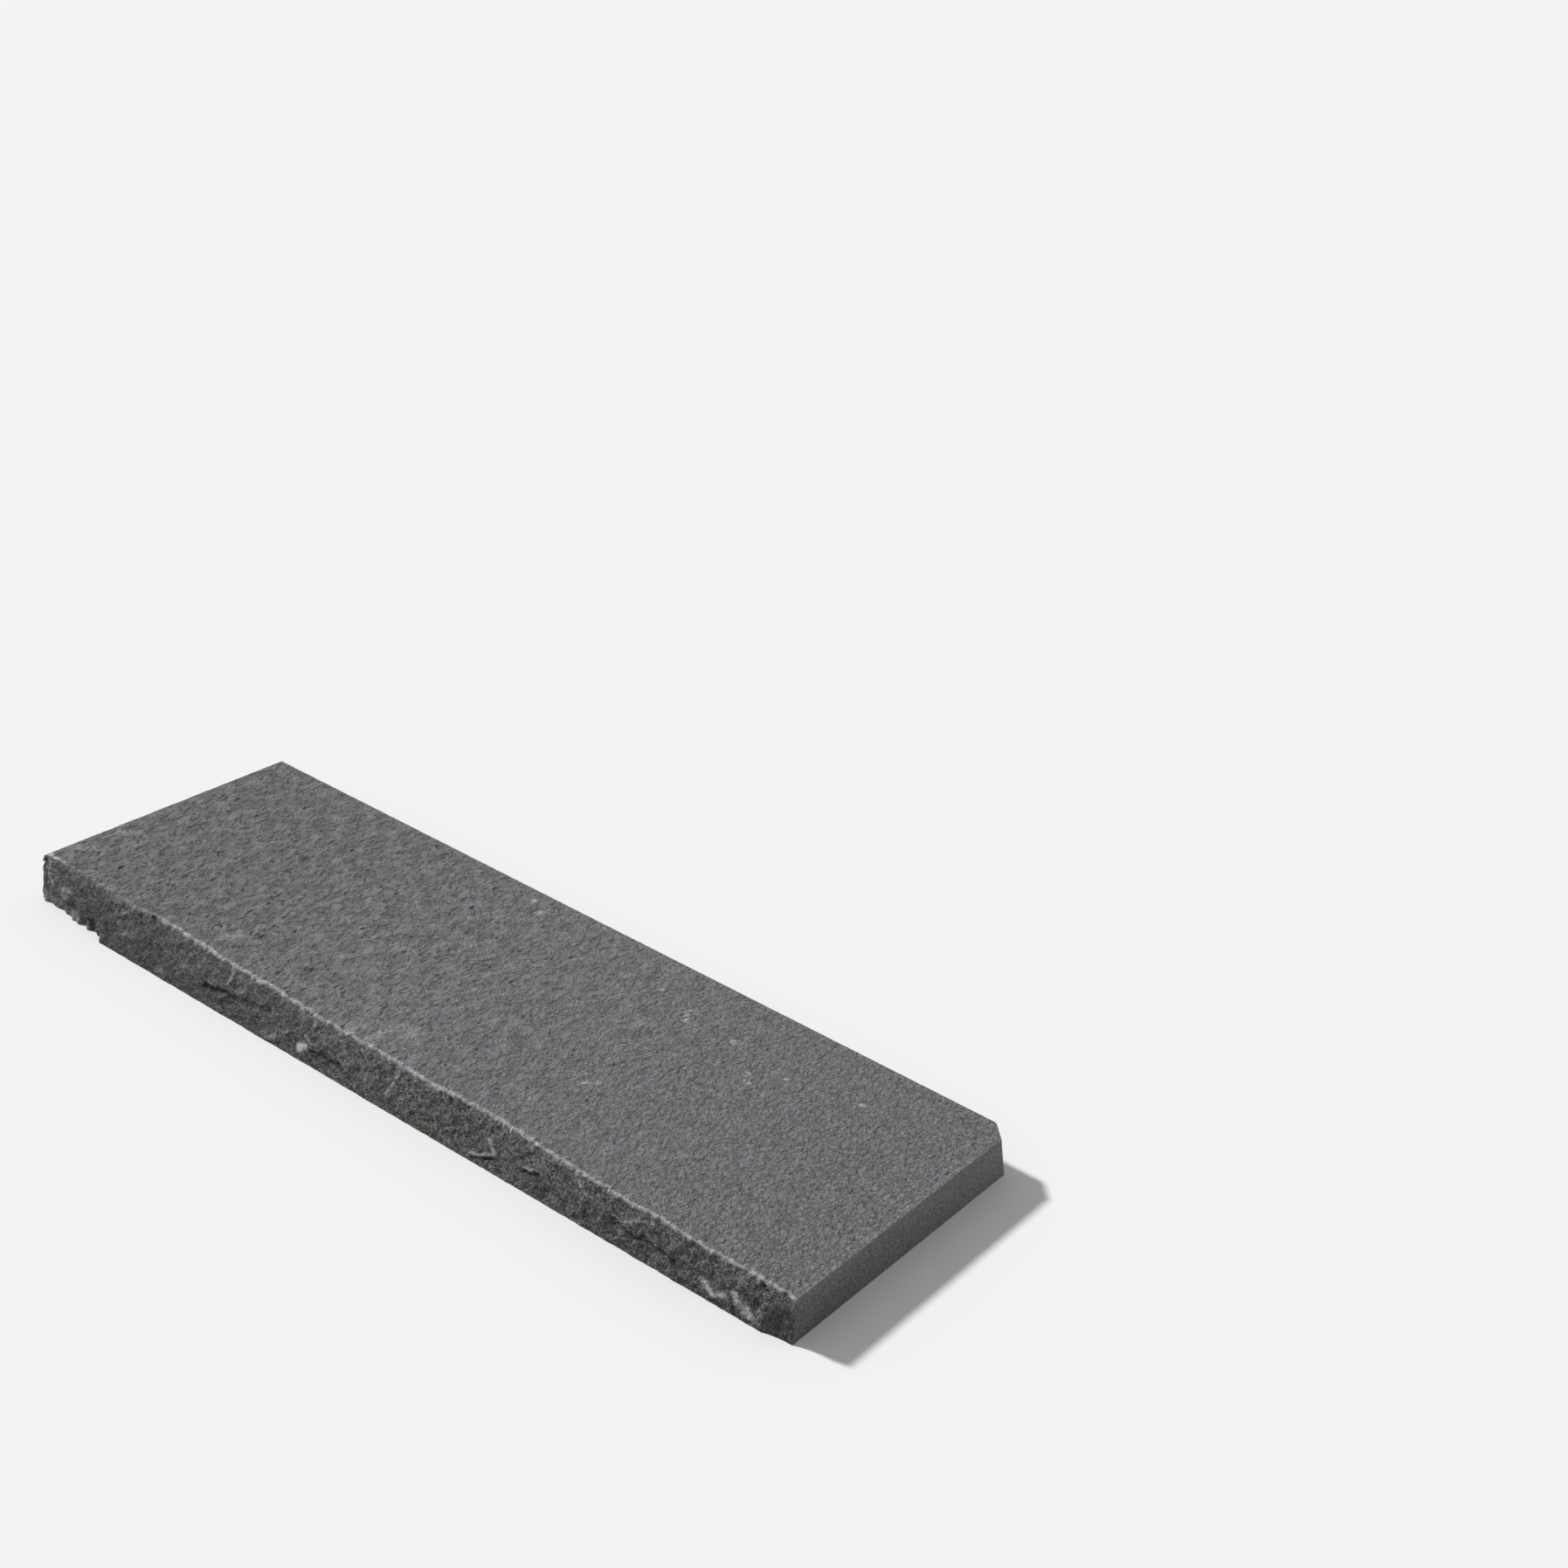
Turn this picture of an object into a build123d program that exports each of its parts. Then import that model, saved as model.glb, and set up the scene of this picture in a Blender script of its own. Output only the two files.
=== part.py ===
"""Stair tread: one slab of sandstone, sawn on its back, ends and underside, with a rock-faced front.

The origin is at the middle of the underside. +X runs along the tread, +Z is up and the front faces -Y.
All sizes are in millimetres.
"""

from build123d import *
import os
from math import atan2, cos, radians, sin

# The slab, measured over everything
tread_length = 914.4
tread_depth = 304.8
tread_thickness = 44.45

# The rock face leans out from the arris at the top to the foot, less and less towards the right end
face_reach = 18.0
foot_retreat = 15.0

# Waves of the arris: how far it lies behind its straight line, at even stations from left to right
arris_setbacks = [2.2, 4.2, 5.0, 4.2, 6.8, 5.3, 3.5, 4.4, 2.7, 1.4, 2.9]
arris_setbacks += [2.9, 2.6, 6.2, 4.4, 2.4, 0.9, 1.1, 0.6, 2.8, 1.0]

# Wear of the sawn edges round the top
edge_wear = 0.8

# Shallow shell-shaped spalls that scallop the arris
arris_spall_pitch = 47.0
arris_spall_width = 42.0
arris_spall_drop = 8.0
arris_spall_bite = 1.8

# Smaller spalls across the lower half of the face, clear of the foot line
foot_spall_pitch = 33.0
foot_spall_width = 22.0
foot_spall_height = 17.0
foot_spall_bite = 1.6

# How much the spalls in a row differ from each other, as a share of their pitch, width and bite
unevenness = 0.38
turn_between_spalls = 2.4

# Flakes that broke off from the foot upwards and stopped at a step: a sharp ledge above a hollow
long_ledge_from_left = 289.0
long_ledge_height = 19.0
long_ledge_width = 84.0
long_ledge_bite = 3.6
long_ledge_slope = 6.0
thin_ledge_from_left = 407.0
thin_ledge_height = 12.0
thin_ledge_width = 42.0
thin_ledge_bite = 1.8
thin_ledge_slope = 5.0
short_ledge_from_left = 598.0
short_ledge_height = 9.0
short_ledge_width = 34.0
short_ledge_bite = 2.6
short_ledge_slope = 20.0
arched_ledge_from_right = 131.0
arched_ledge_height = 17.0
arched_ledge_width = 40.0
arched_ledge_bite = 3.0
arched_ledge_slope = 0.0

# Piece broken off the foot at the left end. It takes the whole height there, is lower and shallower
# towards its wall, and the whole foot begins beyond that
foot_break_length = 105.0
foot_break_end_bite = 12.0
foot_break_bite = 7.0
foot_break_height = 14.0
foot_break_wall = 8.0

# Spall that rounds the foot of the face into the right end
end_spall_height = 11.0
end_spall_length = 27.0
end_spall_bite = 5.0

# Upright arris broken off between the back and the right end
corner_break = 16.0

# Lines that the slab is drawn between
left_end = -tread_length / 2
right_end = tread_length / 2
back = tread_depth / 2
front = -tread_depth / 2
arris = front + face_reach
full_foot = left_end + foot_break_length

# How far the stone that is dressed away runs past the slab, so that it is cut cleanly
overrun = 5.0


def foot_line(x):
    """Front of the foot at a place along the tread. It is furthest out beside the broken foot."""
    return front + foot_retreat * (x - full_foot) / (right_end - full_foot)


def face_plane(x, height, slope=0.0, tilt=0.0):
    """Plane at a place on the rock face, with its X out of the face and its Z up the face."""
    reach = arris - foot_line(x)
    lean = atan2(reach, tread_thickness) + tilt
    outwards = Vector(0, -cos(lean), sin(lean))
    along = Vector(cos(radians(slope)), 0, sin(radians(slope)))
    return Plane(
        origin=(x, foot_line(x) + reach * height / tread_thickness, height),
        x_dir=outwards,
        z_dir=outwards.cross(along),
    )


def spall(face, width, bite, top=90):
    """A shallow shell of this width and bite, cut from the part. A top of 0 stops it at a sharp ledge."""
    radius = (width**2 / 4 + bite**2) / (2 * bite)
    with Locations(face.location * Location((radius - bite, 0, 0))):
        Sphere(radius, arc_size2=top, align=None, mode=Mode.SUBTRACT)


def row_of_spalls(pitch, width, height, bite, phase):
    """Spalls side by side along the face, with steady, uneven changes of place, width and bite."""
    for number in range(round(tread_length / pitch)):
        turn = number * turn_between_spalls + phase
        x = left_end + pitch * (number + 0.5 + unevenness * sin(turn) / 2)
        spall(
            face_plane(x, height),
            width=width * (1 + unevenness * cos(turn)),
            bite=bite * (1 + unevenness * sin(2 * turn)),
        )


with BuildPart() as stair_tread:
    # Sawn slab, with the upright arris at the back of the right end broken off
    with BuildSketch() as slab:
        with BuildLine():
            Polyline(
                (left_end, front),
                (left_end, back),
                (right_end - corner_break, back),
                (right_end, back - corner_break),
                (right_end, front),
                close=True,
            )
        make_face()
    extrude(amount=tread_thickness)

    # Worn edges of the top at the ends and the back, not along the rock face
    top_edges = stair_tread.faces().sort_by(Axis.Z)[-1].edges()
    chamfer(top_edges.sort_by(Axis.Y)[1:], length=edge_wear)

    # Stone dressed away in front of the face, from the straight foot line up to the waving arris
    beyond_left = left_end - overrun
    beyond_right = right_end + overrun
    clear = front - face_reach
    with BuildSketch() as waste_at_foot:
        with BuildLine():
            Polyline(
                (beyond_left, foot_line(beyond_left)),
                (beyond_left, clear),
                (beyond_right, clear),
                (beyond_right, foot_line(beyond_right)),
                close=True,
            )
        make_face()
    with BuildSketch(Plane.XY.offset(tread_thickness)) as waste_at_arris:
        with BuildLine():
            station = (beyond_right - beyond_left) / (len(arris_setbacks) - 1)
            arris_points = [
                (beyond_left + station * number, arris + setback)
                for number, setback in enumerate(arris_setbacks)
            ]
            Polyline(arris_points[0], (beyond_left, clear), (beyond_right, clear), arris_points[-1])
            Spline(*reversed(arris_points))
        make_face()
    loft(ruled=True, mode=Mode.SUBTRACT)

    # Foot broken off at the left end: at the wall, the break meets the face at its own height
    bite_at_top = foot_break_bite + face_reach - foot_break_bite * tread_thickness / foot_break_height
    for height, end_bite, bite in (
        (0, foot_break_end_bite, foot_break_bite),
        (tread_thickness, face_reach, bite_at_top),
    ):
        with BuildSketch(Plane.XY.offset(height)):
            with BuildLine():
                Polyline(
                    (beyond_left, front + end_bite),
                    (full_foot - foot_break_wall, front + bite),
                    (full_foot, front + bite - foot_break_bite),
                    (full_foot, clear),
                    (beyond_left, clear),
                    close=True,
                )
            make_face()
    loft(ruled=True, mode=Mode.SUBTRACT)

    # Rows of spalls, high and low on the face, and the spall at its right end
    arris_spall_height = tread_thickness - arris_spall_drop
    row_of_spalls(arris_spall_pitch, arris_spall_width, arris_spall_height, arris_spall_bite, phase=0)
    row_of_spalls(foot_spall_pitch, foot_spall_width, foot_spall_height, foot_spall_bite, phase=1)
    spall(face_plane(right_end, end_spall_height), 2 * end_spall_length, end_spall_bite)

    # Ledges, each above a flake that has gone. The hollow is tilted, so that it runs out at the foot
    long_ledge = left_end + long_ledge_from_left
    thin_ledge = left_end + thin_ledge_from_left
    short_ledge = left_end + short_ledge_from_left
    arched_ledge = right_end - arched_ledge_from_right
    for x, height, slope, width, bite in (
        (long_ledge, long_ledge_height, long_ledge_slope, long_ledge_width, long_ledge_bite),
        (thin_ledge, thin_ledge_height, thin_ledge_slope, thin_ledge_width, thin_ledge_bite),
        (short_ledge, short_ledge_height, short_ledge_slope, short_ledge_width, short_ledge_bite),
        (arched_ledge, arched_ledge_height, arched_ledge_slope, arched_ledge_width, arched_ledge_bite),
    ):
        run_out = atan2(max(bite * (1 - (2 * height / width) ** 2), 0), height)
        spall(face_plane(x, height, slope, tilt=run_out), width, bite, top=0)

stair_tread.part.label = "stair_tread"
os.makedirs("parts", exist_ok=True)
export_step(stair_tread.part, "parts/stair_tread.step")
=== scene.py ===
"""Looks of the stair tread: a slab of dark sandstone with a natural top and a rock-faced front.

The stone is one closed mesh. Its form is read off the CAD solid, and its relief is added here: the
ripples of the natural top, and the chips, lumps and cracks of the rock face. The broken corner at the
back of the right end also grows smaller towards its foot here. Each point keeps how deep it lies and
how pale or dark the stone is there, painted shade along the cracks and in the right end's spall and
painted highlights on ridges among it, and the materials read that.
"""

import math

import bmesh
import bpy
import numpy as np
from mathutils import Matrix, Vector
from mathutils.bvhtree import BVHTree


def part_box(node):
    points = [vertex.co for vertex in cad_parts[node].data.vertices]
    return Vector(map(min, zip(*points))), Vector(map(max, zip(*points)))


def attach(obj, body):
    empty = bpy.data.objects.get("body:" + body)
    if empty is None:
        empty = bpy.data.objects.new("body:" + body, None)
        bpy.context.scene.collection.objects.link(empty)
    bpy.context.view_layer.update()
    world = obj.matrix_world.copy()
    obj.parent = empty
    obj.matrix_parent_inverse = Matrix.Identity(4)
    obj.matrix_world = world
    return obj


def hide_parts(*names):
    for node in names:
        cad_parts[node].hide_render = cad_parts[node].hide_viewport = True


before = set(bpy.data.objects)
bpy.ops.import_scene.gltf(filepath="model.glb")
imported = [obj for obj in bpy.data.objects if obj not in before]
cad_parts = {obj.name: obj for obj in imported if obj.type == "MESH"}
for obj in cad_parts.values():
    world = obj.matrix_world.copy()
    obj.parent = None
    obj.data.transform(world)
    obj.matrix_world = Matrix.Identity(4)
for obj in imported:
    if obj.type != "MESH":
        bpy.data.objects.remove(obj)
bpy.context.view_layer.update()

NODE = "stair_tread"
MM = 0.001

# Size of the slab, read from the frame
LEFT, FRONT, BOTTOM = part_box(NODE)[0]
RIGHT, BACK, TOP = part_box(NODE)[1]
LENGTH = RIGHT - LEFT
DEPTH = BACK - FRONT
THICKNESS = TOP - BOTTOM

# Divisions of the mesh along X, across the top, and up the front and the back
COLUMNS = 500
TOP_ROWS = 152
FACE_ROWS = 36
BACK_ROWS = 4

# Size of the mesh's first step beside a corner, and of the top's last row in widths of its first
CORNER_STEP = 0.4 * MM
ROW_GROWTH = 2.0

# Edges of the mesh that turn by more than this, in degrees, stay sharp
SHARP_ANGLE = 48

# How far inside the solid's edges its surface is read, so that no ray grazes it
INSET = 0.02 * MM

# How much smaller the broken corner at the back of the right end is at the foot than at the top
CORNER_TAPER = 12.5 * MM

# Mean depth of the relief inside the solid, in mm, on the rock face and on the natural top
FACE_MEAN = 1.1
TOP_MEAN = 1.6

# Highest crest and deepest hollow of the natural top, in mm from its mean
TOP_CREST = 1.5
TOP_HOLLOW = 0.9

# The solid's spall in the right end, as its place from the left end and the underside and its reach,
# and where its broken foot gives way to the whole one, from the left end, all in mm
END_SPALL = (914, 10)
END_SPALL_REACH = 27
FOOT_BREAK = 100

# Marks on the rock face, each a line through places in mm from the left end and the underside
# Cracks: grooves cut into the face and painted dark as the shadow under their ledges
CRACKS_AND_SHADOWS = [
    [(79, 12), (84, 8)],
    [(145, 42), (148, 33)],
    [(159, 42), (163, 38)],
    [(247, 13), (262, 15)],
    [(249, 16), (290, 20), (331, 25)],
    [(390, 13), (428, 14)],
    [(534, 29), (539, 31)],
    [(552, 40), (556, 37)],
    [(588, 4), (612, 12)],
    [(641, 16), (657, 20)],
    [(739, 23), (761, 16), (771, 19), (784, 18), (799, 16), (805, 8)],
    [(883, 39), (887, 36)],
]
# Ridges: raised a little and painted pale as highlights where they face up
RIDGES_AND_HIGHLIGHTS = [
    [(9, 40), (13, 28), (19, 22)],
    [(280, 43), (275, 26)],
    [(380, 22), (388, 18)],
    [(389, 43), (387, 31)],
    [(493, 43), (491, 29), (483, 14)],
    [(600, 25), (609, 16)],
    [(579, 6), (595, 9), (610, 15)],
    [(641, 19), (655, 23)],
    [(695, 42), (701, 33), (707, 29), (714, 29)],
    [(750, 26), (763, 33), (775, 37)],
    [(738, 25), (760, 18)],
]
WHITE_CHIPS = [
    [(829, 15), (836, 11), (843, 8)],
    [(846, 12), (851, 13)],
    [(859, 19), (864, 13)],
    [(864, 16), (870, 8)],
    [(872, 15), (877, 7)],
    [(375, 11), (383, 13)],
    [(378, 9), (381, 14)],
]

# Marks on the natural top, in mm from the left end and the back: pale smears, chipped spots and crumbs
SMEARS = [
    [(14, 206), (22, 196)],
    [(12, 253), (18, 246)],
    [(421, 281), (428, 267)],
    [(447, 281), (447, 262), (454, 244)],
    [(465, 252), (469, 238)],
    [(233, 262), (240, 248)],
]
CHIPPED = [
    [(3, 280), (9, 282), (14, 280)],
    [(13, 283), (23, 281)],
]
CRUMBS = [
    (622, 194), (626, 188), (618, 197), (708, 90), (715, 100), (736, 74), (804, 59),
    (669, 63), (614, 60), (619, 66), (610, 55), (570, 45), (384, 17), (402, 28),
]

# How far each kind of mark reaches from its line or place, in mm
CRACK_REACH = 2.6
RIDGE_REACH = 2.2
CHIP_REACH = 3.8
SMEAR_REACH = 8.0
CHIPPED_REACH = 4.2
CRUMB_REACH = 2.8

# Order of the materials on the mesh
NATURAL_TOP = 0
ROCK_FACE = 1
SAWN_FACE = 2

# Shine of the stone, and the range that most of a noise lies in
STONE_SPECULAR = 0.3
NOISE_LOW = 0.3
NOISE_HIGH = 0.7

# The photograph's camera, found from the tread's corners: lens in mm, place in metres, turn in degrees
LENS = 50.294
SENSOR = 36.0
CAMERA_PLACE = (1.17195, -1.14839, 1.10607)
CAMERA_TURN = (62.5642, -3.9281, 38.8964)

# The sky's strength as light and as it is seen, and the lamp's direction and its width in degrees
SKY_LIGHT = 0.35
SKY_SEEN = 1.0
TO_LAMP = Vector((-0.66, -0.16, 0.62)).normalized()
LAMP_WIDTH = 6

# The floor: half its length in metres, and its grey as light bounces off it and as it is seen
FLOOR_REACH = 30
FLOOR_LIGHT = 0.45
FLOOR_SEEN = 0.9


def even_with_edges(count, edge):
    """Shares from 0 to 1, even but for two closer steps at each end, the first of them of this size."""
    inner = np.linspace(0, 1, count - 3)
    second = 2.2 * edge
    return np.sort(np.concatenate([inner, [edge, 1 - edge, second, 1 - second]]))


def crowded_start(count, growth):
    """Shares from 0 to 1 in steps that grow evenly, to a last step of this many times the first."""
    even = np.linspace(0, 1, count + 1)
    return (even + (growth - 1) * even**2 / 2) / (1 + (growth - 1) / 2)


def random_field(width, depth, pitch, seed, short, long, direction=0.0, stretch=1.0, slope=1.0):
    """Periodic random relief of unit spread: waves from short to long, drawn out along a direction.

    The long waves are the strongest, less so with a low slope.
    """
    shape = (math.ceil(depth / pitch), math.ceil(width / pitch))
    noise = np.random.default_rng(seed).standard_normal(shape)
    across_x = np.fft.rfftfreq(shape[1], pitch)
    across_y = np.fft.fftfreq(shape[0], pitch)[:, None]
    turn = math.radians(direction)
    along = across_x * math.cos(turn) + across_y * math.sin(turn)
    aside = across_y * math.cos(turn) - across_x * math.sin(turn)
    frequency = np.hypot(along * stretch, aside)
    band = np.exp(-((frequency * short) ** 2)) * (1 - np.exp(-((frequency * long) ** 2)))
    band = band / np.maximum(frequency, 1 / long) ** slope
    field = np.fft.irfft2(np.fft.rfft2(noise) * band, s=shape)
    return field / field.std(), pitch


def read(field, x, y):
    """The field's value at places on it, by straight lines between its samples."""
    values, pitch = field
    u = np.asarray(x) / pitch
    v = np.asarray(y) / pitch
    left = np.floor(u).astype(int)
    low = np.floor(v).astype(int)
    right_share = u - left
    high_share = v - low
    rows, columns = values.shape
    near = values[low % rows, left % columns] * (1 - right_share)
    near = near + values[low % rows, (left + 1) % columns] * right_share
    far = values[(low + 1) % rows, left % columns] * (1 - right_share)
    far = far + values[(low + 1) % rows, (left + 1) % columns] * right_share
    return near * (1 - high_share) + far * high_share


def along_tread(x, seed, short, long):
    """Random values of unit spread along the tread, with waves from short to long."""
    return read(random_field(LENGTH, 2 * MM, MM / 2, seed, short, long), x - LEFT, 0 * x)


def smooth_step(low, high, value):
    """0 below low, 1 above high and a smooth rise between, or a fall where low is above high."""
    share = np.clip((value - low) / (high - low), 0, 1)
    return share * share * (3 - 2 * share)


def even_spread(values):
    """The values with a mean of 0 and a spread of 1."""
    return (values - values.mean()) / values.std()


def terraced(values, rise):
    """The values brought to whole steps, with this share of each step for its rise."""
    level = np.floor(values)
    return level + smooth_step(1 - rise, 1, values - level)


def surface_reader(node):
    """A function that gives where rays from outside meet the solid, along one axis."""
    tree = BVHTree.FromObject(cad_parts[node], bpy.context.evaluated_depsgraph_get())

    def meet(points, direction):
        aim = Vector(direction)
        axis = int(np.argmax(np.abs(direction)))
        found = np.empty(len(points))
        for number, point in enumerate(points):
            start = Vector(point) - aim * DEPTH
            hit = tree.ray_cast(start, aim)[0] or tree.find_nearest(Vector(point))[0]
            found[number] = hit[axis]
        return found

    return meet


def streak_angle(x):
    """Direction of the streaks on the rock face: low at the left, steep at the right end."""
    return np.radians(24 + 40 * smooth_step(LEFT + 0.25 * LENGTH, RIGHT, x))


def along_and_aside(x, z):
    """Places on the rock face, measured along its streaks and across them."""
    stations = np.linspace(LEFT, RIGHT, 400)
    step = stations[1] - stations[0]
    along = np.interp(x, stations, np.cumsum(np.cos(streak_angle(stations))) * step)
    aside = np.interp(x, stations, np.cumsum(np.sin(streak_angle(stations))) * step)
    return along + z * np.sin(streak_angle(x)), z * np.cos(streak_angle(x)) - aside


def chips(along, aside, length, width, bowl, seed):
    """Depth of chips of this length and width that meet at sharp ridges. A low bowl makes them flat."""
    # The chances repeat after this many chips. A chip strays by this share of a cell from its middle
    period = 256
    stray = 0.48
    u = along / length
    v = aside / width
    chance = np.random.default_rng(seed).uniform(-1, 1, (period, period, 5))
    deepest = np.full(u.shape, -np.inf)
    for right in (-1, 0, 1):
        for up in (-1, 0, 1):
            cell_u = np.floor(u).astype(int) + right
            cell_v = np.floor(v).astype(int) + up
            chances = np.moveaxis(chance[cell_u % period, cell_v % period], -1, 0)
            shift_u, shift_v, level, tilt_u, tilt_v = chances
            from_u = u - cell_u - 0.5 - stray * shift_u
            from_v = v - cell_v - 0.5 - stray * shift_v
            plane = 0.5 * level + 0.9 * (tilt_u * from_u + tilt_v * from_v)
            deepest = np.maximum(deepest, plane - bowl * (from_u**2 + from_v**2))
    return even_spread(deepest)


def near_line(across, up, line, reach):
    """1 on a line through places in mm, falling to 0 this far from it."""
    closest = np.full(across.shape, np.inf)
    for start, end in zip(line, line[1:]):
        run = np.array(end, float) - start
        share = ((across - start[0]) * run[0] + (up - start[1]) * run[1]) / (run @ run)
        share = np.clip(share, 0, 1)
        away = np.hypot(across - start[0] - share * run[0], up - start[1] - share * run[1])
        closest = np.minimum(closest, away)
    return smooth_step(reach, 0.25 * reach, closest)


def on_face(x, z, rows, pitch, seed, short, long, direction, stretch):
    """Random values at places on the rock face, from a field this many times as high as the face."""
    field = random_field(LENGTH, THICKNESS * rows, pitch, seed, short, long, direction, stretch)
    return read(field, x - LEFT, z)


def broken_stone(x, z):
    """Chips and waves of the rock face in mm of depth, and the lumps and the fine waves among them."""
    along, aside = along_and_aside(x, z)
    lumps = on_face(x, z, 2, MM, 13, short=6 * MM, long=30 * MM, direction=25, stretch=1.6)
    fine = on_face(x, z, 2, MM / 2, 14, short=1.6 * MM, long=6 * MM, direction=40, stretch=1.8)
    broad = on_face(x, z, 4, 2 * MM, 16, short=22 * MM, long=90 * MM, direction=40, stretch=1.3)
    bent = aside + 1.2 * MM * lumps

    # The coarsest forms are strongest at the left
    coarse = 1 - 0.7 * smooth_step(LEFT + 0.2 * LENGTH, LEFT + 0.6 * LENGTH, x)
    depth = 0.42 * coarse * chips(along, bent, 24 * MM, 10 * MM, bowl=1.0, seed=11)
    depth += 0.34 * chips(along, bent, 10 * MM, 5 * MM, bowl=0.7, seed=12)
    depth += 0.26 * chips(along, bent, 6 * MM, 3.2 * MM, bowl=0.6, seed=15)
    depth += 0.30 * coarse * lumps + 0.26 * (0.4 + 0.6 * coarse) * broad + 0.22 * fine
    return depth, lumps, fine


def with_face_marks(depth, tone, across, up, lumps, fine):
    """Depth and tone of the rock face: its cracks cut in and painted dark as the shadow under their
    ledges, its ridges raised and painted pale as highlights, and its white chips.
    """
    for line in CRACKS_AND_SHADOWS:
        shade = near_line(across, up, line, CRACK_REACH)
        shade = shade * (0.5 + 0.5 * smooth_step(-1.5, 0.8, fine + lumps))
        depth = depth + 1.3 * shade
        tone = tone - 0.9 * shade
    for line in RIDGES_AND_HIGHLIGHTS:
        shine = near_line(across, up, line, RIDGE_REACH) * smooth_step(-1.4, 0.6, fine)
        depth = depth - 0.5 * shine
        tone = tone + 0.7 * shine
    for line in WHITE_CHIPS:
        tone = tone + 0.95 * near_line(across, up, line, CHIP_REACH) * smooth_step(-2.2, 0.0, fine)
    return depth, tone


def face_relief(x, z):
    """How far the rock face lies inside the solid, its depth in mm, and its tone: pale 1, dark -1."""
    depth, lumps, fine = broken_stone(x, z)
    height = (z - BOTTOM) / THICKNESS
    across = (x - LEFT) / MM
    up = (z - BOTTOM) / MM

    # Less relief in the spall at the right end and on the broken foot at the left end, and along the
    # arris and the whole foot, so that those stay nearly straight
    from_spall = np.hypot(END_SPALL[0] - across, up - END_SPALL[1])
    end_spall = smooth_step(END_SPALL_REACH + 2, END_SPALL_REACH - 2, from_spall)
    broken_foot = smooth_step(FOOT_BREAK - 10, FOOT_BREAK - 34, across) * smooth_step(14, 8, up)
    at_foot = 0.3 + 0.9 * smooth_step(FOOT_BREAK + 8, FOOT_BREAK, across)
    calm = at_foot + (1 - at_foot) * smooth_step(0, 0.12, height)
    calm = calm * (0.6 + 0.4 * smooth_step(1, 0.84, height))
    depth = depth * calm * (1 - 0.75 * end_spall) * (1 - 0.3 * broken_foot)

    # Small bites out of the arris, and the ragged foot where a piece is broken off at the left end
    bites = along_tread(x, 43, 5 * MM, 24 * MM)
    depth += 1.3 * smooth_step(0.6, 2.4, bites) * smooth_step(0.84, 1.0, height)
    ragged = along_tread(x, 44, 9 * MM, 40 * MM) * smooth_step(FOOT_BREAK + 6, FOOT_BREAK, across)
    depth += 1.6 * ragged * smooth_step(0.30, 0.0, height)

    # Pale where crests are crushed and on the broken foot, and darker in the end spall, which is
    # painted shade
    tone = 0.35 * smooth_step(0.9, 2.0, -depth + 0.4 * fine) + 0.22 * broken_foot - 0.30 * end_spall
    depth, tone = with_face_marks(depth, tone, across, up, lumps, fine)
    return (FACE_MEAN + depth) * MM, depth, np.clip(tone, -1, 1)


def on_top(pitch, seed, short, long, direction, stretch, slope):
    """Random field for the natural top."""
    return random_field(LENGTH, DEPTH, pitch, seed, short, long, direction, stretch, slope)


def top_waves(u, v):
    """Height of the natural top in mm from its mean, and the crinkles and the fine waves in it."""
    swells = read(on_top(2 * MM, 23, 13 * MM, 30 * MM, direction=97, stretch=1.3, slope=1.0), u, v)
    ripples = on_top(MM, 21, 5.5 * MM, 12 * MM, direction=97, stretch=1.5, slope=0.6)
    crinkles = read(on_top(MM, 22, 3.0 * MM, 7 * MM, direction=95, stretch=1.3, slope=0.5), u, v)
    fine = read(on_top(MM / 2, 24, 1.8 * MM, 6 * MM, direction=95, stretch=1.3, slope=0.5), u, v)
    to_right = smooth_step(0.35, 0.95, u / LENGTH)

    # Ripples lean over to one side, as water marks do, and grow small towards the right end
    first = read(ripples, u, v)
    leaning = read(ripples, u - 1.6 * MM * first, v - 0.9 * MM * first)
    flakes = 0.4 * leaning + 0.6 * terraced(leaning + 0.5, 0.5)
    wave = 0.47 * (1 - 0.85 * to_right) * swells + 0.80 * (1 - 0.66 * to_right) * flakes
    wave = wave + (0.15 + 0.09 * to_right) * crinkles + (0.03 + 0.05 * to_right) * fine
    limit = np.where(wave < 0, TOP_HOLLOW, TOP_CREST)
    return limit * np.tanh(wave / limit), crinkles, fine


def top_marks(across, from_back, crinkles, fine):
    """How pale the natural top is at its smears, chipped spots and crumbs, and along its right end."""
    tone = np.zeros_like(across)
    for line in SMEARS:
        tone += 0.34 * near_line(across, from_back, line, SMEAR_REACH) * smooth_step(-1.6, 0.3, fine)
    for line in CHIPPED:
        tone += 0.9 * near_line(across, from_back, line, CHIPPED_REACH)
    for spot_x, spot_y in CRUMBS:
        away = np.hypot(across - spot_x, from_back - spot_y)
        tone += 0.8 * smooth_step(CRUMB_REACH, 1.0, away + 1.6 * fine)
    tone += 0.07 * smooth_step(8, 2, LENGTH / MM - across + 1.5 * crinkles)
    return np.clip(tone, -1, 1)


def top_relief(x, y):
    """Drop of the natural top below the solid's flat top, its depth in mm, and how pale it is."""
    wave, crinkles, fine = top_waves(x - LEFT, y - FRONT)

    # The relief is low beside the sawn edges, so that they stay straight
    across = (x - LEFT) / MM
    from_back = (BACK - y) / MM
    from_sawn_edge = np.minimum(np.minimum(across, LENGTH / MM - across), from_back)
    wave = wave * (0.2 + 0.8 * smooth_step(0, 7, from_sawn_edge))
    tone = top_marks(across, from_back, crinkles, fine)
    return np.maximum(TOP_MEAN - wave, 0.0) * MM, -wave, tone


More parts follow.
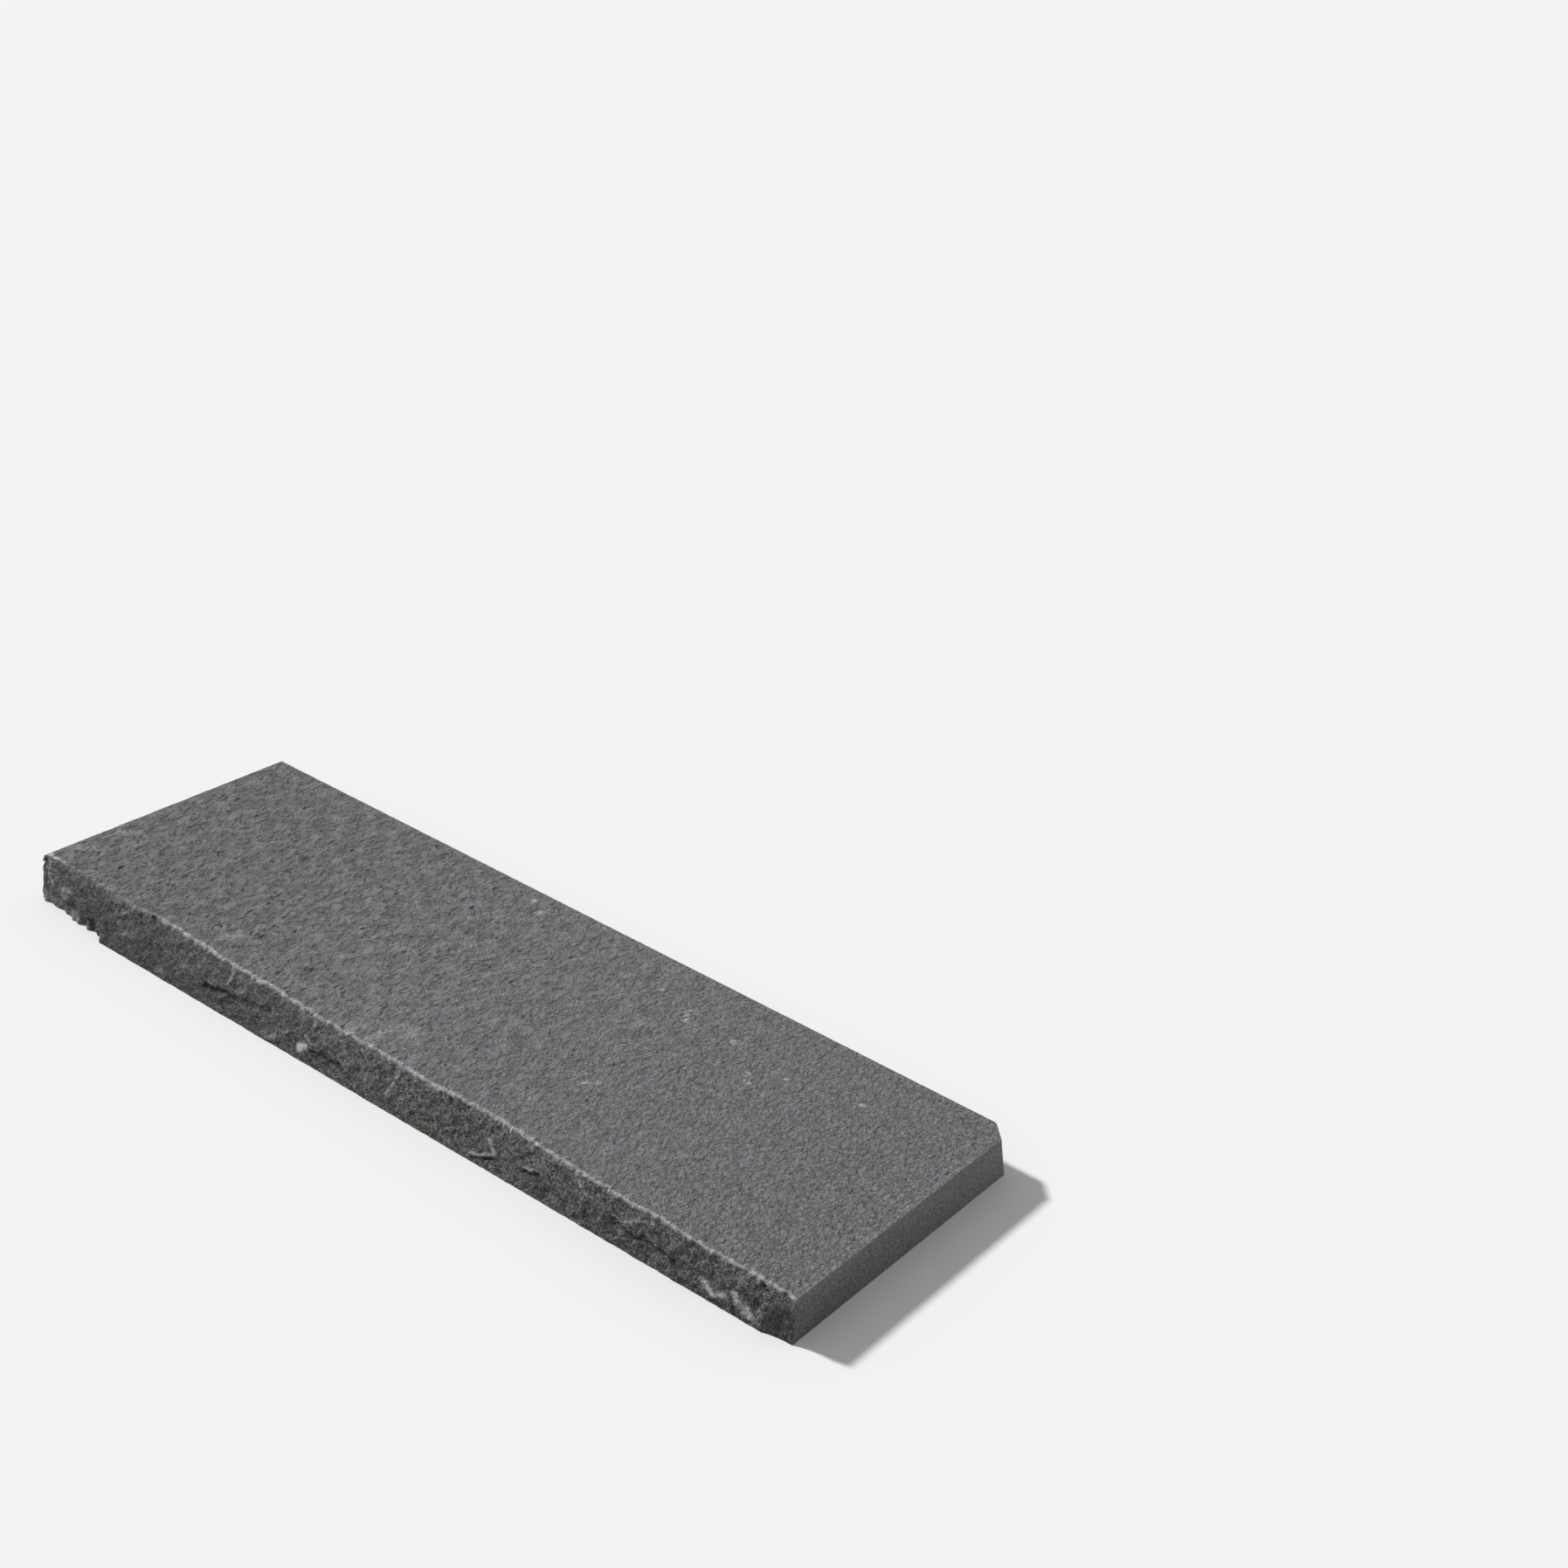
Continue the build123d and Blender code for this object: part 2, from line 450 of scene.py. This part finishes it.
def worn_arris(x):
    """How pale the broken line of the arris is along the tread, and how far it runs down the face."""
    kept = 0.3 + 0.7 * smooth_step(LEFT + 0.10 * LENGTH, LEFT + 0.25 * LENGTH, x)
    line = along_tread(x, 41, 1.5 * MM, 16 * MM)
    spurs = along_tread(x, 42, 1.5 * MM, 7 * MM)
    pale = kept * (0.4 + 0.6 * smooth_step(-0.9, 1.0, line))
    return pale, MM * (2.0 + 4.5 * smooth_step(0.2, 2.0, spurs))


def front_rows(meet, x):
    """Y, Z, depth and tone of the rock face, in columns from the foot up to the arris."""
    z = BOTTOM + THICKNESS * even_with_edges(FACE_ROWS, CORNER_STEP / THICKNESS)
    grid_x, grid_z = np.meshgrid(x, z, indexing="ij")
    safe_z = np.clip(grid_z, BOTTOM + INSET, TOP - INSET)
    starts = np.stack([grid_x, np.full_like(grid_x, FRONT), safe_z], -1)
    solid_y = meet(starts.reshape(-1, 3), (0, 1, 0)).reshape(grid_x.shape)
    inwards, depth, tone = face_relief(grid_x, grid_z)
    return np.maximum(solid_y + inwards, FRONT), grid_z, depth, tone


def back_rows(meet, x):
    """Y and Z of the sawn back, in columns from the top down. The broken corner grows smaller."""
    way_down = np.linspace(0, 1, BACK_ROWS + 1)
    middle = np.stack([x, np.full_like(x, BACK), np.full_like(x, (TOP + BOTTOM) / 2)], -1)
    solid_y = np.minimum(meet(middle, (0, -1, 0)), BACK)
    back_y = BACK - np.maximum(BACK - solid_y[:, None] - CORNER_TAPER * way_down, 0)
    return back_y, np.broadcast_to(TOP - THICKNESS * way_down, back_y.shape)


def top_rows(meet, x, arris, back):
    """Y, Z, depth and tone of the natural top, in columns from the arris to the back."""
    top_y = arris[:, None] + (back - arris)[:, None] * crowded_start(TOP_ROWS, ROW_GROWTH)
    top_x = np.repeat(x[:, None], TOP_ROWS + 1, axis=1)
    safe_y = np.clip(top_y, None, back[:, None] - INSET) + INSET
    starts = np.stack([top_x, safe_y, np.full_like(top_x, TOP)], -1)
    solid_z = meet(starts.reshape(-1, 3), (0, 0, -1)).reshape(top_x.shape)
    drop, depth, tone = top_relief(top_x, top_y)
    return top_y, np.minimum(solid_z, TOP - drop), depth, tone


def pale_arris(x, face_z, face_tone, top_tone):
    """Tones of the rock face and the natural top with the pale line of the arris between them."""
    worn, reach = worn_arris(x)
    spurs = smooth_step(reach[:, None], 0.4 * reach[:, None], TOP - face_z)
    face_tone = np.where(spurs > 0, np.maximum(face_tone, worn[:, None] * spurs), face_tone)
    top_tone[:, 1] = np.maximum(top_tone[:, 1], 0.9 * worn)
    top_tone[:, 2] = np.maximum(top_tone[:, 2], 0.5 * worn - 0.2)
    return face_tone, top_tone


def slab_points():
    """Points of the slab's front, top and back in columns along X, with each one's depth and tone."""
    meet = surface_reader(NODE)
    x = LEFT + LENGTH * even_with_edges(COLUMNS, CORNER_STEP / LENGTH)
    safe_x = np.clip(x, LEFT + INSET, RIGHT - INSET)
    face_y, face_z, face_depth, face_tone = front_rows(meet, safe_x)
    back_y, back_z = back_rows(meet, safe_x)
    top_y, top_z, top_depth, top_tone = top_rows(meet, safe_x, face_y[:, -1], back_y[:, 0])
    face_tone, top_tone = pale_arris(x, face_z, face_tone, top_tone)

    # The front and the back end at the height that the top's relief has there
    rise = (face_z - BOTTOM) / THICKNESS * (top_z[:, :1] - BOTTOM) + BOTTOM
    fall = (back_z[:, 1:] - BOTTOM) / THICKNESS * (top_z[:, -1:] - BOTTOM) + BOTTOM
    sawn = np.zeros_like(fall)
    ring_y = np.concatenate([face_y, top_y[:, 1:], back_y[:, 1:]], 1)
    ring_z = np.concatenate([rise, top_z[:, 1:], fall], 1)
    ring_x = np.broadcast_to(x[:, None], ring_y.shape)
    hollow = np.concatenate([face_depth, top_depth[:, 1:], sawn], 1)
    tone = np.concatenate([face_tone, top_tone[:, 1:], sawn], 1)
    return np.stack([ring_x, ring_y, ring_z], -1), {"hollow": hollow, "tone": tone}


def build_slab():
    """The stone as one closed mesh: its ring of front, top and back, then its foot and its two ends."""
    points, attributes = slab_points()
    columns, ring_count = points.shape[:2]
    index = np.arange(columns * ring_count).reshape(columns, ring_count)
    quads = np.stack([index[:-1, :-1], index[1:, :-1], index[1:, 1:], index[:-1, 1:]], -1)
    faces = quads.reshape(-1, 4).tolist()
    foot = list(index[:, 0]) + list(index[::-1, -1])
    faces += [[int(corner) for corner in outline] for outline in (foot, index[0], index[-1, ::-1])]
    kind_of_row = np.repeat([ROCK_FACE, NATURAL_TOP, SAWN_FACE], [FACE_ROWS, TOP_ROWS, BACK_ROWS])
    kinds = np.append(np.tile(kind_of_row, columns - 1), [SAWN_FACE] * 3)

    mesh = bpy.data.meshes.new("stair_tread_stone")
    mesh.from_pydata(points.reshape(-1, 3).tolist(), [], faces)
    mesh.polygons.foreach_set("material_index", kinds.astype(np.int32))
    mesh.polygons.foreach_set("use_smooth", np.ones(len(faces), bool))
    for name, values in attributes.items():
        kept = mesh.attributes.new(name, "FLOAT", "POINT")
        kept.data.foreach_set("value", values.ravel().astype(np.float32))

    stone = bmesh.new()
    stone.from_mesh(mesh)
    bmesh.ops.recalc_face_normals(stone, faces=stone.faces)
    bmesh.ops.triangulate(stone, faces=[face for face in stone.faces if len(face.verts) > 4])
    stone.to_mesh(mesh)
    stone.free()
    mesh.set_sharp_from_angle(angle=math.radians(SHARP_ANGLE))
    return mesh


def add(tree, kind, sockets, **settings):
    """Adds a node with these settings, each socket set to a value or linked to an output."""
    node = tree.nodes.new(kind)
    for name, value in settings.items():
        setattr(node, name, value)
    for socket, value in sockets.items():
        if isinstance(value, bpy.types.NodeSocket):
            tree.links.new(value, node.inputs[socket])
        else:
            node.inputs[socket].default_value = value
    return node


def maths(tree, operation, *values):
    """An operation on one value or two."""
    return add(tree, "ShaderNodeMath", dict(enumerate(values)), operation=operation).outputs[0]


def total(tree, *values):
    """The sum of values."""
    result = values[0]
    for value in values[1:]:
        result = maths(tree, "ADD", result, value)
    return result


def share_of(tree, value, factor):
    """A value times a factor."""
    return maths(tree, "MULTIPLY", value, factor)


def from_middle(tree, value):
    """How far a value lies from 0.5."""
    return maths(tree, "ABSOLUTE", maths(tree, "SUBTRACT", value, 0.5))


def tuned(tree, value, low, high, at_low, at_high):
    """The value brought from one range to another and held within it."""
    sockets = {0: value, 1: low, 2: high, 3: at_low, 4: at_high}
    return add(tree, "ShaderNodeMapRange", sockets).outputs[0]


def held(tree, value, low=0.0, high=1.0):
    """The value held within a range."""
    return tuned(tree, value, low, high, low, high)


def swing(tree, value, reach):
    """A noise brought to a range about 0 that reaches this far to each side."""
    return tuned(tree, value, NOISE_LOW, NOISE_HIGH, -reach, reach)


def places(tree, stretch=1.0, turn=(0, 0, 0)):
    """Places on the stone in metres, drawn out by a stretch along a direction given by a rotation."""
    place = add(tree, "ShaderNodeTexCoord", {}).outputs["Object"]
    rotation = [math.radians(angle) for angle in turn]
    sockets = {"Vector": place, "Rotation": rotation, "Scale": (stretch, 1, 1)}
    return add(tree, "ShaderNodeMapping", sockets, vector_type="TEXTURE").outputs[0]


def from_left(tree, start, end, at_start, at_end):
    """A value that changes along the tread, between two shares of its length from the left end."""
    x = add(tree, "ShaderNodeSeparateXYZ", {0: places(tree)}).outputs["X"]
    return tuned(tree, x, LEFT + start * LENGTH, LEFT + end * LENGTH, at_start, at_end)


def from_foot(tree, at_foot, at_arris):
    """A value that changes from the foot up to the arris."""
    z = add(tree, "ShaderNodeSeparateXYZ", {0: places(tree)}).outputs["Z"]
    return tuned(tree, z, BOTTOM, TOP, at_foot, at_arris)


def noise(tree, place, size, detail=3.0, roughness=0.55, distortion=0.0):
    """Noise whose waves are about this long."""
    sockets = {
        "Vector": place,
        "Scale": 1 / size,
        "Detail": detail,
        "Roughness": roughness,
        "Distortion": distortion,
    }
    return add(tree, "ShaderNodeTexNoise", sockets).outputs[0]


def patches(tree, size, detail, low, high):
    """1 in scattered patches of about this size, where a noise is above high, and 0 where it is low."""
    return tuned(tree, noise(tree, places(tree), size, detail), low, high, 0.0, 1.0)


def steps(tree, value, count, rise):
    """The value brought to this many steps over a range of 1, and 1 where it is on a step's edge."""
    raised = share_of(tree, value, count)
    level = maths(tree, "FLOOR", raised)
    sockets = {0: maths(tree, "FRACT", raised), 1: 1 - rise, 2: 1.0}
    climb = add(tree, "ShaderNodeMapRange", sockets, interpolation_type="SMOOTHSTEP").outputs[0]
    edge = tuned(tree, from_middle(tree, climb), 0.15, 0.5, 1.0, 0.0)
    return share_of(tree, total(tree, level, climb), 1 / count), edge


def creases(tree, place, size):
    """Small flakes that end in broken, curving steps: their height, and where a step's edge is."""
    bed = noise(tree, place, size, detail=3.0, roughness=0.5, distortion=0.7)
    height, edges = steps(tree, bed, count=3.4, rise=0.5)
    return height, share_of(tree, edges, patches(tree, 1.2 * size, 2.0, 0.46, 0.58))


def veins(tree, place, size, width):
    """Thin curving lines, 1 on a line and 0 beside it, broken into short pieces."""
    field = noise(tree, place, size, detail=2.0, roughness=0.5, distortion=1.0)
    line = tuned(tree, from_middle(tree, field), 0.0, width, 1.0, 0.0)
    return share_of(tree, line, patches(tree, 0.9 * size, 1.0, 0.46, 0.56))


def blend(tree, share, first, second):
    """A colour between two."""
    sockets = {0: share, 6: first, 7: second}
    return add(tree, "ShaderNodeMix", sockets, data_type="RGBA").outputs[2]


def scaled(tree, colour, factor):
    """A colour made lighter or darker by a factor."""
    sockets = {0: colour, "Scale": factor}
    return add(tree, "ShaderNodeVectorMath", sockets, operation="SCALE").outputs[0]


def attribute(tree, name):
    """What each point of the mesh keeps under this name."""
    return add(tree, "ShaderNodeAttribute", {}, attribute_name=name).outputs["Fac"]


def with_marks(tree, colour, dark, pale):
    """A colour with the dark and pale marks that the mesh keeps, painted shadows and highlights among
    them.
    """
    tone = attribute(tree, "tone")
    colour = blend(tree, held(tree, tone), colour, (*pale, 1))
    return blend(tree, tuned(tree, tone, 0.0, -1.0, 0.0, 1.0), colour, (*dark, 1))


def new_material(name, specular=STONE_SPECULAR):
    """A new material, its node tree and its shader."""
    material = bpy.data.materials.new(name)
    material.use_nodes = True
    shader = material.node_tree.nodes["Principled BSDF"]
    shader.inputs["Specular IOR Level"].default_value = specular
    return material, material.node_tree, shader


def finish_stone(tree, shader, colour, roughness, height, distance):
    """Links a stone's colour, roughness and bump to its shader."""
    tree.links.new(colour, shader.inputs["Base Color"])
    tree.links.new(roughness, shader.inputs["Roughness"])
    bump = add(tree, "ShaderNodeBump", {"Height": height, "Strength": 1.0, "Distance": distance})
    tree.links.new(bump.outputs[0], shader.inputs["Normal"])


def natural_top():
    """The split upper bed of the stone: olive and blue-grey, creased by small flakes, with painted
    shade in its hollows and along the flakes' steps and painted light on its crests.
    """
    material, tree, shader = new_material("stone_natural_top")
    plain = places(tree)
    small_place = places(tree, 1.5, (0, 0, 98))
    wide_flakes, wide_step_shade = creases(tree, places(tree, 1.4, (0, 0, 96)), 6.2 * MM)
    small_flakes, small_step_shade = creases(tree, small_place, 3.0 * MM)
    crinkles = noise(tree, small_place, 2.2 * MM, detail=3.0, roughness=0.6, distortion=0.8)
    grains = noise(tree, plain, 1.1 * MM, detail=2.0, roughness=0.6)
    clouds = noise(tree, plain, 24 * MM, detail=3.0, roughness=0.5)

    # Towards the right end the wide flakes fade and the small ones grow strong
    wide = from_left(tree, 0.4, 1.0, 1.15, 0.6)
    small = from_left(tree, 0.2, 1.0, 0.38, 1.7)

    olive = (0.1490, 0.1520, 0.1480, 1)
    blue_grey = (0.1540, 0.1580, 0.1650, 1)
    colour = blend(tree, tuned(tree, clouds, 0.40, 0.60, 0.0, 1.0), olive, blue_grey)
    # Painted shade darkens the hollows and the flakes' step edges, and painted light brightens the
    # crests
    shade = total(
        tree,
        tuned(tree, attribute(tree, "hollow"), -1.5, 1.5, 0.44, -0.44),
        share_of(tree, share_of(tree, wide_step_shade, wide), -0.22),
        share_of(tree, share_of(tree, small_step_shade, small), -0.26),
        share_of(tree, swing(tree, crinkles, 0.30), small),
        share_of(tree, swing(tree, grains, 0.10), small),
        from_left(tree, 0.2, 0.45, 1.0, 1.165),
    )
    colour = scaled(tree, colour, shade)
    colour = with_marks(tree, colour, dark=(0.035, 0.035, 0.034), pale=(0.50, 0.51, 0.51))
    height = total(
        tree,
        share_of(tree, wide_flakes, wide),
        share_of(tree, share_of(tree, small_flakes, small), 0.7),
        share_of(tree, crinkles, 0.35),
    )
    roughness = tuned(tree, crinkles, NOISE_LOW, NOISE_HIGH, 0.92, 0.72)
    finish_stone(tree, shader, colour, roughness, height, distance=3.4 * MM)
    return material


def rock_face():
    """The rock-faced front: broken in streaks, browner low down, with painted shade low down and in its
    hollows and painted highlights on the crests of its hackles.
    """
    material, tree, shader = new_material("stone_rock_face")
    plain = places(tree)
    low_place = places(tree, 2.6, (0, -25, 0))
    steep_place = places(tree, 2.4, (0, -62, 0))
    steepness = from_left(tree, 0.3, 0.8, 0.0, 1.0)

    def streaky(size, roughness, distortion):
        low = noise(tree, low_place, size, 3.0, roughness, distortion)
        steep = noise(tree, steep_place, size, 3.0, roughness, distortion)
        return add(tree, "ShaderNodeMix", {0: steepness, 2: low, 3: steep}).outputs[0]

    def stronger_right(value, at_left, at_right):
        return share_of(tree, value, from_left(tree, 0.3, 0.55, at_left, at_right))

    streaks = streaky(3.0 * MM, 0.6, 1.0)
    hackles, crests = steps(tree, streaky(1.6 * MM, 0.65, 1.2), count=3.6, rise=0.5)
    # Painted highlights along the broken crests of the hackles
    crest_highlights = share_of(tree, crests, patches(tree, 3.5 * MM, 2.0, 0.45, 0.58))
    pale_veins = veins(tree, places(tree, 1.6, (0, -40, 0)), 5.0 * MM, width=0.05)
    dark_veins = veins(tree, places(tree, 1.8, (0, -55, 0)), 6.0 * MM, width=0.05)
    grains = noise(tree, plain, 1.6 * MM, detail=2.0, roughness=0.7)
    clouds = noise(tree, plain, 22 * MM, detail=3.0, roughness=0.6)

    grey = (0.1420, 0.1440, 0.1430, 1)
    brown = (0.1190, 0.1150, 0.1070, 1)
    low_share = from_foot(tree, 0.62, 0.0)
    left_share = from_left(tree, 0.0, 0.45, 1.0, 0.0)
    hue = total(tree, low_share, tuned(tree, clouds, 0.35, 0.65, -0.12, 0.28))
    colour = blend(tree, held(tree, hue), grey, brown)
    # Painted shade: darker in the hollows and towards the foot, most at the left; painted highlights on
    # the hackles' crests
    shade = total(
        tree,
        tuned(tree, attribute(tree, "hollow"), -1.2, 1.6, 0.14, -0.16),
        swing(tree, streaks, 0.26),
        stronger_right(swing(tree, hackles, 0.60), 1.0, 1.6),
        stronger_right(crest_highlights, 0.7, 1.0),
        stronger_right(pale_veins, 0.5, 1.0),
        share_of(tree, dark_veins, -0.6),
        stronger_right(swing(tree, grains, 0.60), 0.32, 1.45),
        share_of(tree, share_of(tree, low_share, left_share), -0.55),
        from_foot(tree, 0.92, 1.13),
    )
    colour = scaled(tree, colour, held(tree, shade, 0.2, 3.0))
    # The dark mark colour is painted shadow, along the cracks and in the end spall
    colour = with_marks(tree, colour, dark=(0.018, 0.017, 0.016), pale=(0.62, 0.62, 0.61))
    height = total(tree, streaks, share_of(tree, hackles, 0.8), share_of(tree, grains, 0.14))
    roughness = tuned(tree, streaks, NOISE_LOW, NOISE_HIGH, 0.95, 0.78)
    finish_stone(tree, shader, colour, roughness, height, distance=2.8 * MM)
    return material


def sawn_stone():
    """The sawn back, ends and underside: smooth, even and finely speckled."""
    material, tree, shader = new_material("stone_sawn")
    plain = places(tree)
    speckles = noise(tree, plain, 2.2 * MM, detail=3.0, roughness=0.7)
    clouds = noise(tree, plain, 30 * MM, detail=3.0, roughness=0.6)
    saw_marks = noise(tree, places(tree, 12.0, (0, 0, 90)), 2.0 * MM, detail=2.0, roughness=0.5)
    dark_grey = (0.176, 0.180, 0.186, 1)
    light_grey = (0.192, 0.198, 0.206, 1)
    shade = total(tree, swing(tree, speckles, 0.72), swing(tree, saw_marks, 0.03), 1.0)
    colour = scaled(tree, blend(tree, clouds, dark_grey, light_grey), shade)
    colour = with_marks(tree, colour, dark=(0.03, 0.03, 0.03), pale=(0.42, 0.43, 0.44))
    height = total(tree, speckles, share_of(tree, saw_marks, 0.6))
    roughness = tuned(tree, speckles, NOISE_LOW, NOISE_HIGH, 0.86, 0.70)
    finish_stone(tree, shader, colour, roughness, height, distance=0.15 * MM)
    return material


def place_camera():
    """The photograph's camera."""
    data = bpy.data.cameras.new("camera")
    data.lens = LENS
    data.sensor_width = SENSOR
    camera = bpy.data.objects.new("camera", data)
    camera.location = CAMERA_PLACE
    camera.rotation_euler = [math.radians(angle) for angle in CAMERA_TURN]
    bpy.context.scene.collection.objects.link(camera)
    bpy.context.scene.camera = camera


def seen_directly(tree):
    """1 where the camera, a reflection or glass looks at the surface, 0 for light that it bounces."""
    path = add(tree, "ShaderNodeLightPath", {}).outputs
    seen = maths(tree, "MAXIMUM", path["Is Camera Ray"], path["Is Glossy Ray"])
    return maths(tree, "MAXIMUM", seen, path["Is Transmission Ray"])


def light_the_sky():
    """An even sky, brighter as it is seen than as light."""
    world = bpy.data.worlds.new("sky")
    bpy.context.scene.world = world
    world.use_nodes = True
    tree = world.node_tree
    background = tree.nodes["Background"]
    background.inputs["Color"].default_value = (1, 1, 1, 1)
    strength = tuned(tree, seen_directly(tree), 0.0, 1.0, SKY_LIGHT, SKY_SEEN)
    tree.links.new(strength, background.inputs["Strength"])


def hang_the_lamp():
    """One soft lamp, high on the left.

    With the sky it lights a level surface so that its colour renders as it is written.
    """
    lamp = bpy.data.lights.new("key", "SUN")
    lamp.energy = (1 - SKY_LIGHT) * math.pi / TO_LAMP.z
    lamp.angle = math.radians(LAMP_WIDTH)
    key = bpy.data.objects.new("key", lamp)
    key.rotation_euler = TO_LAMP.to_track_quat("Z", "Y").to_euler()
    bpy.context.scene.collection.objects.link(key)


def lay_the_floor():
    """A plain, pale floor under the tread, paler as it is seen than as light bounces off it."""
    mesh = bpy.data.meshes.new("floor")
    signs = [(-1, -1), (1, -1), (1, 1), (-1, 1)]
    corners = [(along * FLOOR_REACH, aside * FLOOR_REACH, 0) for along, aside in signs]
    mesh.from_pydata(corners, [], [(0, 1, 2, 3)])
    floor = bpy.data.objects.new("floor", mesh)
    material, tree, shader = new_material("floor", specular=0.0)
    shader.inputs["Roughness"].default_value = 0.9
    grey = tuned(tree, seen_directly(tree), 0.0, 1.0, FLOOR_LIGHT, FLOOR_SEEN)
    tree.links.new(grey, shader.inputs["Base Color"])
    mesh.materials.append(material)
    bpy.context.scene.collection.objects.link(floor)


bpy.context.scene.view_settings.view_transform = "Standard"
place_camera()
light_the_sky()
hang_the_lamp()
lay_the_floor()

slab = bpy.data.objects.new("stone_slab", build_slab())
bpy.context.scene.collection.objects.link(slab)
for material in (natural_top(), rock_face(), sawn_stone()):
    slab.data.materials.append(material)
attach(slab, "root")
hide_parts(NODE)
